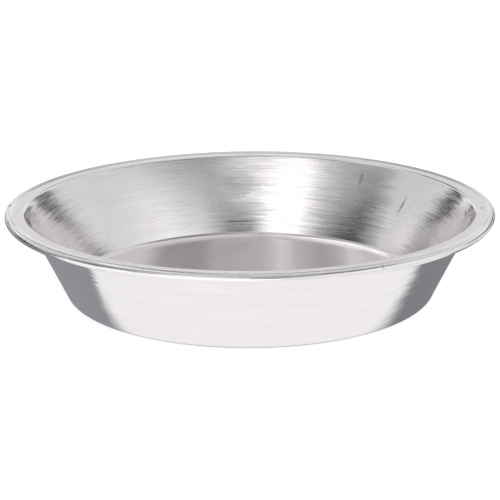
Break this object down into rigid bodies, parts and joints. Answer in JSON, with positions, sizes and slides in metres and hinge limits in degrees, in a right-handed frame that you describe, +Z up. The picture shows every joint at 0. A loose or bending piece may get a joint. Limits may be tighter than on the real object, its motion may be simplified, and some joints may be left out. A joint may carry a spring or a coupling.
{
  "type": "pie pan",
  "caption": "Round bare aluminium pie pan with a flat floor, a straight leaning wall, a flat flange and a hollow bead rolled under at the rim.",
  "frame": {"origin": "middle of the underside of the floor, where the pan rests", "axes": "+Z up, out of the mouth and along the axis of the round pan; X and Y are free, and -Y is the side nearest the camera"},
  "size_m": [0.229, 0.229, 0.0415],
  "materials": {
    "aluminium": "bare, with fine spin lines round the axis"
  },
  "bodies": {
    "root": {"pie_pan": "aluminium"}
  },
  "joints": []
}
